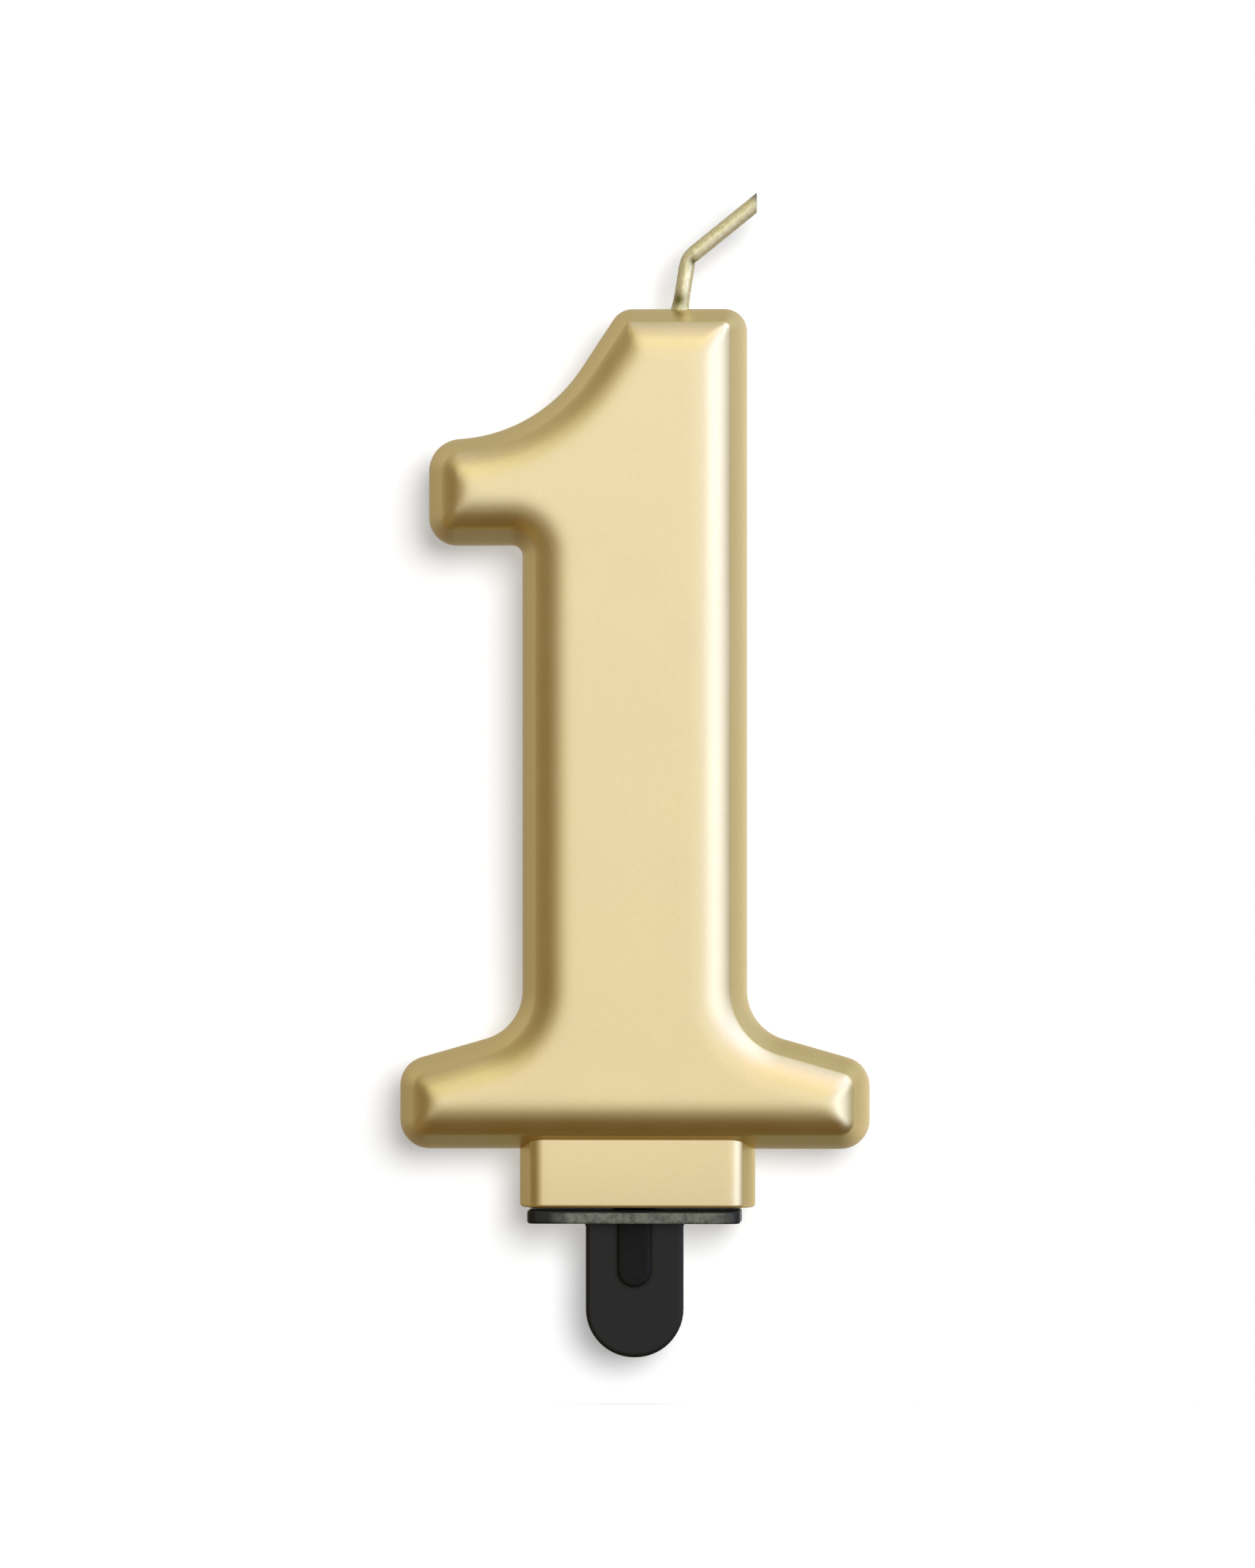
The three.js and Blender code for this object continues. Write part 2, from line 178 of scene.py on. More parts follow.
# Quads between rows of points that each close on themselves
def quadsBetween(rows, count):
    loop = np.arange(count)
    nextOne = np.roll(loop, -1)
    base = np.arange(rows - 1)[:, None] * count
    sides = [base + loop, base + nextOne, base + count + nextOne, base + count + loop]
    return np.stack(sides, axis=2).reshape(-1, 4)


# Body that is alike in front and behind. Ring k of the outline stands at inset and depth k of the
# section. Inside the last ring lies a net of points in rows of equal triangles, where relief
# gives the depths from ring firstSoft on, and otherwise a flat face. The back is the front's
# mirror image.
def reliefBody(corners, rows, spacing, relief=None, firstSoft=0, netGap=0.45, tolerance=1e-6):
    rings = np.stack([ringOf(corners, inset, spacing) for inset, _ in rows])
    count = rings.shape[1]
    flat = rings.reshape(-1, 2)
    depths = np.repeat(rows[:, 1], count)
    if relief:
        low, high = rings[-1].min(axis=0), rings[-1].max(axis=0)
        across = np.arange(low[0], high[0], spacing)
        upward = np.arange(low[1], high[1], spacing * np.sqrt(0.75))
        net = np.stack(np.meshgrid(across, upward), axis=2)
        net[1::2, :, 0] += spacing / 2
        net = net.reshape(-1, 2)
        net = net[insideRing(rings[-1], net)]
        net = net[distanceTo(rings[-1], stepsOf(rings[-1]), net) > netGap * spacing]
        flat = np.concatenate([flat, net])
        depths = np.concatenate([depths[:firstSoft * count], relief(flat[firstSoft * count:])])
    firstInner = (len(rows) - 1) * count
    loop = np.arange(count)
    nextOne = np.roll(loop, -1)
    border = np.stack([loop, nextOne], axis=1)
    filled = delaunay_2d_cdt(flat[firstInner:].tolist(), border.tolist(), [], 1, tolerance)
    source = np.array([ids[0] for ids in filled[3]])
    caps = source[np.array(filled[2])] + firstInner
    quads = quadsBetween(len(rows), count)
    behind = np.arange(len(flat)) + len(flat) - count
    behind[:count] = loop
    vertices = np.concatenate([
        np.stack([flat[:, 0], -depths, flat[:, 1]], axis=1),
        np.stack([flat[count:, 0], depths[count:], flat[count:, 1]], axis=1),
    ])
    faces = quads.tolist() + caps.tolist()
    faces += behind[quads][:, ::-1].tolist() + behind[caps][:, ::-1].tolist()
    return vertices, faces


# True for each point inside a closed ring: a line drawn to the right crosses it an odd number
# of times, counted over the ring in batches
def insideRing(ring, points, batches=20):
    nextOne = np.roll(ring, -1, axis=0)
    odd = np.zeros(len(points), bool)
    for part in np.array_split(np.arange(len(ring)), batches):
        start, end = ring[part], nextOne[part]
        spans = (start[:, 1] > points[:, None, 1]) != (end[:, 1] > points[:, None, 1])
        rise = np.where(end[:, 1] == start[:, 1], 1, end[:, 1] - start[:, 1])
        share = (points[:, None, 1] - start[:, 1]) / rise
        meets = start[:, 0] + share * (end[:, 0] - start[:, 0])
        odd ^= (spans & (points[:, None, 0] < meets)).sum(axis=1) % 2 == 1
    return odd


# Closed skin over a grid of points, rows along it and columns round it, with a fan at each end
def closedTube(grid):
    rows, count = grid.shape[:2]
    loop = np.arange(count)
    nextOne = np.roll(loop, -1)
    last = (rows - 1) * count
    middle = rows * count
    vertices = np.concatenate([grid.reshape(-1, 3), grid[[0, -1]].mean(axis=1)])
    firstFan = np.stack([nextOne, loop, np.full(count, middle)], axis=1)
    lastFan = np.stack([last + loop, last + nextOne, np.full(count, middle + 1)], axis=1)
    faces = [quadsBetween(rows, count), firstFan, lastFan]
    return vertices, [face for part in faces for face in part.tolist()]


# Mesh object from points in millimetres. The faces are turned round if they enclose less than
# nothing, so that they all point outwards.
def addPiece(name, vertices, faces):
    mesh = bpy.data.meshes.new(name)
    mesh.from_pydata((vertices * millimetre).tolist(), [], faces)
    piece = bpy.data.objects.new(name, mesh)
    bpy.context.scene.collection.objects.link(piece)
    mesh.calc_loop_triangles()
    corners = np.zeros(len(mesh.loop_triangles) * 3, int)
    mesh.loop_triangles.foreach_get("vertices", corners)
    a, b, c = (vertices[corners.reshape(-1, 3)[:, k]] for k in range(3))
    if (a * np.cross(b, c)).sum() < 0:
        mesh.flip_normals()
    return piece


# Joins or cuts solids with a Boolean modifier each, applied at once, and removes the tools
def combine(piece, steps):
    for number, (operation, tool) in enumerate(steps):
        modifier = piece.modifiers.new(f"step{number}", "BOOLEAN")
        modifier.operation = operation
        modifier.solver = "MANIFOLD"
        modifier.object = tool
    graph = bpy.context.evaluated_depsgraph_get()
    finished = bpy.data.meshes.new_from_object(piece.evaluated_get(graph))
    piece.modifiers.clear()
    spare = piece.data
    piece.data = finished
    bpy.data.meshes.remove(spare)
    finished.name = piece.name
    for _, tool in steps:
        bpy.data.objects.remove(tool)


# Smooth shading, but for edges that turn by more degrees than sharpFrom
def smoothen(piece, sharpFrom):
    piece.data.shade_smooth()
    piece.data.set_sharp_from_angle(angle=np.radians(sharpFrom))


# Gold coat: the numeral's outline at the parting line as x, z and corner radius, and its relief
numeral = {
    "corners": [
        (20.95, 6.6, 2.6), (20.95, 14.2, 2.6), (10.025, 17.333, 4.5), (10.025, 81.5, 2.0),
        (-1.275, 81.5, 2.0), (-8.494, 70.564, 14.0), (-18.375, 69.7, 2.9), (-18.375, 60.4, 2.5),
        (-10.025, 60.4, 0.9), (-10.025, 17.333, 4.5), (-20.95, 14.2, 2.6), (-20.95, 6.6, 2.6),
    ],
    "halfThickness": 6.0,
    "rim": 1.3,            # draft of the side wall
    "bevel": 3.3,          # width of the rounded bevel inside the rim
    "endBevel": 2.9,       # the same at the tip of the flag and the two ends of the serif
    "endFrom": 15.5,       # which lie at least this far out
    "drop": 1.5,
    "edgeRound": 0.22,     # the small round at the rim
    "swell": 1.5,
    "wallRows": [0, 0.05, 0.18, 0.32, 0.46, 0.6, 0.74, 0.86, 0.95],
    "edgeRows": 6,
    "arcRows": 15,
    "lastInset": 3.0,      # rings of points as far as this, a net of points inside them
    "spacing": 0.42,
    "wholeRuns": 1000.0,   # a spacing that leaves the straight edges in one piece
    "softness": 0.6,       # half width of the rounding where two bevels meet
    "sharpFrom": 38,
}
# Hollow that the wax core fills, with fewer points, as it can't be seen
coatInside = {
    "skin": 0.62, "halfThickness": 5.4, "rim": 1.17, "bevel": 2.1, "drop": 1.35, "edgeRound": 0.2,
    "swell": 1, "wallRows": [0], "edgeRows": 2, "arcRows": 4, "spacing": 3.0,
    "footRows": [0, 8, -1],    # rows of the plinth's body that its hollow keeps
    "footBelow": 2.0,          # how far it is carried down past the plinth, to open it
    "footTop": 9.0,
}
# Plinth: its level section, and how that changes with height
plinth = {
    "width": 21.0, "centre": 0.25, "bottom": 1.4, "top": 9.6,
    "halfThickness": 3.4, "rim": 1.0, "bevel": 1.3, "drop": 0.58, "edgeRound": 0.14,
    "swell": 1.5, "wallRows": [0, 0.08, 0.3, 0.5, 0.7, 0.9], "edgeRows": 5, "arcRows": 8,
    "bottomRound": 0.35,   # the rolled lower edge
    "footRound": 0.08,     # the fillet where it grows out of the numeral
    "joint": 6.6,          # level of the numeral's underside at the parting line
    "faceSteps": 24,
    "roundRows": 7,        # rows of the rolled edge, and of the fillet
}
# Hole for the wick through the top of the coat
wickHole = {"centre": 4.05, "radius": 0.74, "bottom": 74.0, "top": 83.0, "sides": 32}


# Outline moved inwards, as corners again: each corner goes along its bisector, and its radius
# shrinks by the inset where it is an outer one and grows where it is an inside one
def insetOutline(corners, inset, leastRadius=0.2):
    corners = np.array(corners, float)
    leave = np.roll(corners[:, :2], -1, axis=0) - corners[:, :2]
    leave /= np.linalg.norm(leave, axis=1)[:, None]
    enter = np.roll(leave, 1, axis=0)
    cosine = (enter * leave).sum(axis=1)
    turn = enter[:, 0] * leave[:, 1] - enter[:, 1] * leave[:, 0]
    inward = np.stack([-enter[:, 1] - leave[:, 1], enter[:, 0] + leave[:, 0]], axis=1)
    moved = corners[:, :2] + inward * (inset / (1 + cosine))[:, None]
    tightened = np.maximum(corners[:, 2] - inset, leastRadius)
    radius = np.where(turn > 0, tightened, corners[:, 2] + inset)
    return np.column_stack([moved, radius])


# Plinth: its level section carried up. Row k stands at its own height, and the section is drawn
# in along a quarter circle at the rolled lower edge and let out along one at the fillet, which
# follows the slope of the numeral's underside.
def plinthBody(shape, skin=0.0):
    section = reliefSection(shape)
    right = np.stack([shape["width"] / 2 - section[:, 0], -section[:, 1]], axis=1)
    normal = np.gradient(right, axis=0)
    normal = np.stack([-normal[:, 1], normal[:, 0]], axis=1)
    normal /= np.linalg.norm(normal, axis=1)[:, None]
    normal[0], normal[-1] = (1, 0), (0, -1)
    inwards = np.linspace(right[-1, 0], 0, shape["faceSteps"] // 2)[1:]
    face = np.stack([inwards, np.full(len(inwards), right[-1, 1])], axis=1)
    quarter = np.concatenate([right, face])
    quarterNormal = np.concatenate([normal, np.tile([0, -1], (len(face), 1))])
    flips = [((1, 1), 1), ((-1, 1), -1), ((-1, -1), 1), ((1, -1), -1)]
    stretches = [(quarter * sign)[::order][:-1] for sign, order in flips]
    outwards = [(quarterNormal * sign)[::order][:-1] for sign, order in flips]
    ring, outward = np.concatenate(stretches), np.concatenate(outwards)
    roll, foot = shape["bottomRound"], shape["footRound"]
    turn = np.linspace(0, np.pi / 2, shape["roundRows"])
    lowHeights = shape["bottom"] + roll * (1 - np.cos(turn))
    lowOffsets = -roll * (1 - np.sin(turn))
    draft = numeral["rim"] / (numeral["halfThickness"] - numeral["drop"])
    underside = shape["joint"] + draft * np.abs(ring[:, 1])
    highHeights = underside - foot * (1 - np.sin(turn))[:, None]
    highOffsets = foot * (1 - np.cos(turn))
    heights = np.concatenate([
        np.tile(lowHeights[:, None], len(ring)),
        highHeights,
        np.tile(shape["top"], (1, len(ring))),
    ])
    offsets = np.concatenate([lowOffsets, highOffsets, highOffsets[-1:]]) - skin
    spread = ring + offsets[:, None, None] * outward
    return np.stack([spread[..., 0] + shape["centre"], spread[..., 1], heights], axis=2)


# Upright round bar: a ring of points at equal angles at its bottom, and the same at its top
def upright(centre, radius, bottom, top, sides):
    turn = np.arange(sides) * 2 * np.pi / sides
    ring = np.stack([centre + radius * np.cos(turn), radius * np.sin(turn), 0 * turn], axis=1)
    return closedTube(ring + np.array([0, 0, 1]) * np.array([bottom, top])[:, None, None])


# Depths of the numeral's face: its ends have a narrower bevel than its long edges. An end is what
# faces sideways more than it faces up or down, far out on the left or right.
def numeralDepth(points):
    ring = ringOf(numeral["corners"], 0, numeral["wholeRuns"])
    steps = stepsOf(ring)
    sideways = np.abs(steps[:, 1]) > np.abs(steps[:, 0])
    atEnd = sideways & (np.abs(ring[:, 0] + steps[:, 0] / 2) > numeral["endFrom"])
    groups = [
        (ring[~atEnd], steps[~atEnd], reliefSection(numeral)),
        (ring[atEnd], steps[atEnd], reliefSection({**numeral, "bevel": numeral["endBevel"]})),
    ]
    return softenedDepth(points, groups, numeral["rim"], numeral["softness"])


# Numeral and plinth joined, less the two hollows and the wick's hole
def makeCoat():
    section = reliefSection(numeral)
    coat = addPiece("gold_coat_cast", *reliefBody(
        numeral["corners"], section[section[:, 0] <= numeral["lastInset"]], numeral["spacing"],
        numeralDepth, (section[:, 0] <= numeral["rim"]).sum(),
    ))
    foot = addPiece("foot", *closedTube(plinthBody(plinth)))
    inside = addPiece("inside", *reliefBody(
        insetOutline(numeral["corners"], coatInside["skin"]), reliefSection(coatInside),
        coatInside["spacing"],
    ))
    footInside = plinthBody(plinth, coatInside["skin"])
    footInside[0, :, 2] -= coatInside["footBelow"]
    footInside[:, :, 2] = np.minimum(footInside[:, :, 2], coatInside["footTop"])
    footInside = addPiece("footInside", *closedTube(footInside[coatInside["footRows"]]))
    combine(inside, [("UNION", footInside)])
    hole = addPiece("hole", *upright(**wickHole))
    combine(coat, [("UNION", foot), ("DIFFERENCE", inside), ("DIFFERENCE", hole)])
    smoothen(coat, numeral["sharpFrom"])
    return coat


goldCoat = makeCoat()
print("gold coat made:", len(goldCoat.data.polygons), "faces")

# Wick: heading along its length, from its foot in the wax to the cut
wick = {
    "foot": (4.05, 13.7),
    "exit": 67.8,              # length from the foot to the top of the numeral
    "headings": [(0, 90), (67.5, 90), (68.1, 81), (71.93, 81), (72.74, 39), (83, 39)],
    "radius": 0.7,
    "flare": 0.12,             # wax drawn up round it where it leaves the numeral
    "flareHeight": 0.5,
    "flareDepth": 0.6,         # and how far down into the hole
    "cut": 10.88,              # x of the upright cut
    "cutFrom": 74.0,           # length from which the lines are drawn in to end there
    "strandSlope": 1.7,        # length of one turn of a strand of the braid
    "strands": 4,
    "braidFrom": 0.2,          # height above the numeral at which the braid shows
    "relief": 0.012,
    "pinch": 0.1,              # how much narrower the fold is
    "foldAt": 72.3,
    "foldWidth": 0.45,
    "paintedShadeSpots": [(68.6, 0.75, -106), (72.35, 0.6, -35)],   # painted shade at the foot and in the fold: length, half height, angle round it
    "sides": 40,
    "fineBelow": 1,            # how far below the numeral's top the fine rows start
    "hiddenRows": 24,          # rows from the foot as far as there
    "step": 0.1,               # between the fine rows
    "pathSteps": 8300,         # steps in which the heading is added up
    "capLength": 0.2,          # by which the middle of an end counts as beyond its edge
    "sharpFrom": 50,
}


# The wick's grid: a circle carried along the heading's path. Its radius is the wick's, with a
# flare that dies away above the numeral, crossed waves for the braid and a dip at the fold.
# Past the fold each line of the grid ends where it meets the upright cut.
def wickGrid(shape):
    fineFrom, end = shape["exit"] - shape["fineBelow"], shape["headings"][-1][0]
    hidden = np.linspace(0, fineFrom, shape["hiddenRows"])[:-1]
    length = np.concatenate([hidden, np.arange(fineFrom, end, shape["step"])])
    stops, headings = np.array(shape["headings"], float).T
    fine = np.linspace(0, end, shape["pathSteps"] + 1)
    heading = np.radians(np.interp(fine, stops, headings))
    middle = np.radians(np.interp((fine[1:] + fine[:-1]) / 2, stops, headings))
    run = np.concatenate([[0], np.cumsum(np.cos(middle) * np.diff(fine))]) + shape["foot"][0]
    rise = np.concatenate([[0], np.cumsum(np.sin(middle) * np.diff(fine))]) + shape["foot"][1]
    around = np.arange(shape["sides"]) * 2 * np.pi / shape["sides"]

    def gridAt(lengths):
        x, z = np.interp(lengths, fine, run), np.interp(lengths, fine, rise)
        centre = np.stack([x, 0 * lengths, z], axis=-1)
        slope = np.interp(lengths, fine, heading)
        side = np.stack([np.sin(slope), 0 * slope, -np.cos(slope)], axis=-1)
        strand = shape["strands"] * around
        twist = 2 * np.pi * lengths / shape["strandSlope"]
        above = lengths - shape["exit"]
        braid = np.cos(strand + twist) * np.cos(strand - twist) * (above > shape["braidFrom"])
        flare = shape["flare"] * np.exp(-np.clip(above, 0, None) / shape["flareHeight"])
        flare *= above > -shape["flareDepth"]
        fold = shape["pinch"] * np.exp(-((lengths - shape["foldAt"]) / shape["foldWidth"]) ** 2)
        radius = shape["radius"] * (1 - fold) + flare + shape["relief"] * braid
        outward = np.cos(around)[:, None] * side + np.sin(around)[:, None] * np.array([0, 1.0, 0])
        return centre + radius[..., None] * outward

    straight = np.tile(length[:, None], (1, shape["sides"]))
    grid = gridAt(straight)
    tail = length > shape["cutFrom"]
    over = grid[-1, :, 0] - shape["cut"]
    first = grid[tail][0, :, 0]
    share = np.clip((shape["cut"] - first) / (over + shape["cut"] - first), 0, 1)
    straight[tail] = length[tail][0] + (length[tail][:, None] - length[tail][0]) * share
    return gridAt(straight), straight, around


# The wick carries two values at each point: its length from the tip, and how much painted shade it
# has at its foot in the wax and in its fold, a soft spot of e to the power of minus the squared
# distance along it, times the squared cosine round it
def makeWick():
    grid, lengths, around = wickGrid(wick)
    vertices, faces = closedTube(grid)
    piece = addPiece("cotton_wick", vertices, faces)
    paintedShadeSpot = 0
    for at, reach, side in wick["paintedShadeSpots"]:
        facing = np.clip(np.cos(around - np.radians(side)), 0, 1)
        paintedShadeSpot = paintedShadeSpot + np.exp(-((lengths - at) / reach) ** 2) * facing ** 2
    ends = [0, lengths[-1].max() + wick["capLength"]]
    values = {
        "fromTip": ends[1] - np.concatenate([lengths.ravel(), ends]),
        "paintedShadeSpot": np.concatenate([np.clip(paintedShadeSpot, 0, 1).ravel(), [0, 0]]),
    }
    for name, value in values.items():
        layer = piece.data.attributes.new(name, "FLOAT", "POINT")
        layer.data.foreach_set("value", value.astype(np.float32))
    smoothen(piece, wick["sharpFrom"])
    return piece


cottonWick = makeWick()
print("wick made:", len(cottonWick.data.polygons), "faces")

# Pick: four plates in one moulding. Outlines as x, z and corner radius; the flange's as x, y and
# corner radius.
pickSharpFrom = 40
pick = {
    "flange": {
        "corners": [(9.5, -3.1, 1.0), (9.5, 3.1, 1.0), (-9.5, 3.1, 1.0), (-9.5, -3.1, 1.0)],
        "halfThickness": 0.6, "edgeRound": 0.22,
    },
    "tongue": {
        "corners": [
            (5.5, 1.1, 0.03), (-5.5, 1.1, 0.03), (-5.5, 0.05, 0.03), (-4.35, 0.05, 0.45),
            (-4.35, -12.0, 4.3), (4.35, -12.0, 4.3), (4.35, 0.05, 0.45), (5.5, 0.05, 0.03),
        ],
        "halfThickness": 0.9, "edgeRound": 0.4,
    },
    "rib": {
        "corners": [(1.5, 0.6, 0.1), (-1.5, 0.6, 0.1), (-1.5, -5.7, 1.48), (1.5, -5.7, 1.48)],
        "halfThickness": 1.4, "edgeRound": 0.38,
    },
    "anchor": {
        "corners": [
            (1.9, 0.6, 0.1), (1.9, 5.7, 0.3), (2.6, 6.4, 0.3), (2.6, 11.2, 2.55),
            (-2.6, 11.2, 2.55), (-2.6, 6.4, 0.3), (-1.9, 5.7, 0.3), (-1.9, 0.6, 0.1),
        ],
        "halfThickness": 0.9, "edgeRound": 0.15,
    },
}


# The plates, each its outline carried round its section, with the flange laid flat and the
# others joined to it
def makePick(spacing=0.5):
    plates = {}
    for name, shape in pick.items():
        section = plateSection(shape["halfThickness"], shape["edgeRound"])
        vertices, faces = reliefBody(shape["corners"], section, spacing)
        if name == "flange":
            vertices = vertices[:, [0, 2, 1]] + [0, 0, shape["halfThickness"]]
        plates[name] = addPiece("moulded_pick" if name == "flange" else name, vertices, faces)
    joined = [("UNION", plates[name]) for name in ("tongue", "rib", "anchor")]
    combine(plates["flange"], joined)
    smoothen(plates["flange"], pickSharpFrom)
    return plates["flange"]


mouldedPick = makePick()
print("pick made:", len(mouldedPick.data.polygons), "faces")


# Colour written as sRGB, turned to the linear values that the shaders take
def colourOf(text):
    value = np.array([int(text[k:k + 2], 16) for k in (1, 3, 5)]) / 255
    linear = np.where(value <= 0.04045, value / 12.92, ((value + 0.055) / 1.055) ** 2.4)
    return (*linear.tolist(), 1.0)


# Adds a node. A setting goes to the input of that name or number, or else to the property of that
# name, and a link brings another node's output to an input.
def addNode(tree, kind, settings=None, links=None):
    node = tree.nodes.new(kind)
    for key, value in (settings or {}).items():
        if isinstance(key, int) or key in node.inputs:
            node.inputs[key].default_value = value
        else:
            setattr(node, key, value)
    for key, output in (links or {}).items():
        tree.links.new(output, node.inputs[key])
    return node


def newMaterial(name):
    material = bpy.data.materials.new(name)
    material.use_nodes = True
    material.node_tree.nodes.clear()
    return material, material.node_tree


def finishMaterial(tree, shader):
    addNode(tree, "ShaderNodeOutputMaterial", links={"Surface": shader.outputs[0]})


# Metallic lacquer sprayed over a wax dip: fine aluminium flake in a pale gold binder. It shines
# like satin metal, with a speckle of flake and the faint ripple of the wax under it. Painted shade
# deepens its colour towards the bottom.
lacquer = {
    "colour": "#EEDEB3", "deep": "#E7D5A3",
    "edgeTint": (0.8, 0.73, 0.56, 1.0),     # keeps the gold's colour at a glancing angle
    "paintedShadeLevels": (90.0, 0.0),       # levels between which painted shade deepens the colour, downwards
    "roughness": 0.3,
    "lessRough": 0.03, "moreRough": 0.04,   # how far the cloudiness varies it
    "flakeGrain": 0.35,        # the real flake is finer than the render can show
    "flakeHeight": 0.004,
    "cloudGrain": 9.0,         # cloudiness of the wax under the lacquer
    "cloudShare": 0.45,        # its share of the mottling, the rest is flake
    "mottle": 2.0,             # how much flake and wax vary the colour, against its painted shade
    "spare": 0.1,              # room beyond both ends of the painted shade, so that little is cut off
    "rippleWidth": 5.0,
    "rippleHeight": 0.012,
}


def lacquerMaterial(look):
    material, tree = newMaterial("gold lacquer, sprayed on dipped wax")
    place = addNode(tree, "ShaderNodeTexCoord")
    flake = addNode(
        tree, "ShaderNodeTexNoise",
        {"Scale": 1 / (look["flakeGrain"] * millimetre), "Detail": 2.0, "Roughness": 0.6},
        {"Vector": place.outputs["Object"]},
    )
    cloud = addNode(
        tree, "ShaderNodeTexNoise",
        {"Scale": 1 / (look["cloudGrain"] * millimetre), "Detail": 3.0, "Roughness": 0.55},
        {"Vector": place.outputs["Object"]},
    )
    mottled = addNode(
        tree, "ShaderNodeMix", {"data_type": "FLOAT", "Factor": look["cloudShare"]},
        {2: flake.outputs["Fac"], 3: cloud.outputs["Fac"]},
    )
    axes = addNode(tree, "ShaderNodeSeparateXYZ", links={"Vector": place.outputs["Object"]})
    # Painted shade: the colour deepens steadily downwards
    paintedShadeDown = addNode(
        tree, "ShaderNodeMapRange",
        {"From Min": look["paintedShadeLevels"][1] * millimetre, "From Max": look["paintedShadeLevels"][0] * millimetre},
        {"Value": axes.outputs["Z"]},
    )
    both = addNode(
        tree, "ShaderNodeMath", {"operation": "MULTIPLY_ADD", 1: look["mottle"]},
        {0: mottled.outputs[0], 2: paintedShadeDown.outputs[0]},
    )
    shade = addNode(
        tree, "ShaderNodeMapRange",
        {
            "From Min": look["mottle"] / 2 - look["spare"],
            "From Max": look["mottle"] / 2 + 1 + look["spare"],
        },
        {"Value": both.outputs[0]},
    )
    colour = addNode(
        tree, "ShaderNodeMix",
        {"data_type": "RGBA", 6: colourOf(look["deep"]), 7: colourOf(look["colour"])},
        {0: shade.outputs[0]},
    )
    gloss = addNode(
        tree, "ShaderNodeMapRange",
        {
            "From Min": 0.3, "To Min": look["roughness"] - look["lessRough"],
            "From Max": 0.7, "To Max": look["roughness"] + look["moreRough"],
        },
        {"Value": cloud.outputs["Fac"]},
    )
    ripple = addNode(
        tree, "ShaderNodeTexNoise",
        {"Scale": 1 / (look["rippleWidth"] * millimetre), "Detail": 1.0, "Roughness": 0.4},
        {"Vector": place.outputs["Object"]},
    )
    rippled = addNode(
        tree, "ShaderNodeBump", {"Strength": 1.0, "Distance": look["rippleHeight"] * millimetre},
        {"Height": ripple.outputs["Fac"]},
    )
    grained = addNode(
        tree, "ShaderNodeBump", {"Strength": 0.5, "Distance": look["flakeHeight"] * millimetre},
        {"Height": flake.outputs["Fac"], "Normal": rippled.outputs[0]},
    )
    shader = addNode(
        tree, "ShaderNodeBsdfPrincipled", {"Metallic": 1.0, "Specular Tint": look["edgeTint"]},
        {
            "Base Color": colour.outputs[2], "Roughness": gloss.outputs[0],
            "Normal": grained.outputs[0],
        },
    )
    finishMaterial(tree, shader)
    return material


# Braided cotton, waxed and sprayed with the same gold: duller than the numeral, with fibres that
# show grey where the scissors went through, and spots of painted shade at its foot and in its fold
cotton = {
    # the third colour is painted shade, for the spots at the wick's foot and in its fold
    "gold": "#F5EDC8", "darkTone": "#D8CC96", "paintedShadeSpot": "#6E6B38", "cut": "#85837C",
    "roughness": 0.36,
    "metallic": 0.5,           # of the gilding, not of the bare cut
    "threadGrain": 0.25, "threadHeight": 0.01,
    "bareFrom": 1.2, "bareAt": 0.3,   # lengths from the tip between which the gold gives out
}


def cottonMaterial(look):
    material, tree = newMaterial("braided cotton, waxed and gilded")
    place = addNode(tree, "ShaderNodeTexCoord")
    thread = addNode(
        tree, "ShaderNodeTexNoise",
        {"Scale": 1 / (look["threadGrain"] * millimetre), "Detail": 3.0, "Roughness": 0.6},
        {"Vector": place.outputs["Object"]},
    )
    wear = addNode(
        tree, "ShaderNodeMapRange", {"From Min": 0.35, "From Max": 0.75},
        {"Value": thread.outputs["Fac"]},
    )
    gilded = addNode(
        tree, "ShaderNodeMix",
        {"data_type": "RGBA", 6: colourOf(look["gold"]), 7: colourOf(look["darkTone"])},
        {0: wear.outputs[0]},
    )
    fromTip = addNode(tree, "ShaderNodeAttribute", {"attribute_name": "fromTip"})
    atCut = addNode(
        tree, "ShaderNodeMapRange", {"From Min": look["bareFrom"], "From Max": look["bareAt"]},
        {"Value": fromTip.outputs["Fac"]},
    )
    # Painted shade: darker spots at the wick's foot in the wax and in its fold
    paintedShadeSpot = addNode(tree, "ShaderNodeAttribute", {"attribute_name": "paintedShadeSpot"})
    withShadeSpots = addNode(
        tree, "ShaderNodeMix", {"data_type": "RGBA", 7: colourOf(look["paintedShadeSpot"])},
        {0: paintedShadeSpot.outputs["Fac"], 6: gilded.outputs[2]},
    )
    colour = addNode(
        tree, "ShaderNodeMix", {"data_type": "RGBA", 7: colourOf(look["cut"])},
        {0: atCut.outputs[0], 6: withShadeSpots.outputs[2]},
    )
    metal = addNode(
        tree, "ShaderNodeMapRange", {"To Min": look["metallic"], "To Max": 0.0},
        {"Value": atCut.outputs[0]},
    )
    bump = addNode(
        tree, "ShaderNodeBump", {"Strength": 0.5, "Distance": look["threadHeight"] * millimetre},
        {"Height": thread.outputs["Fac"]},
    )
    shader = addNode(
        tree, "ShaderNodeBsdfPrincipled", {"Roughness": look["roughness"]},
        {"Base Color": colour.outputs[2], "Metallic": metal.outputs[0], "Normal": bump.outputs[0]},
    )
    finishMaterial(tree, shader)
    return material
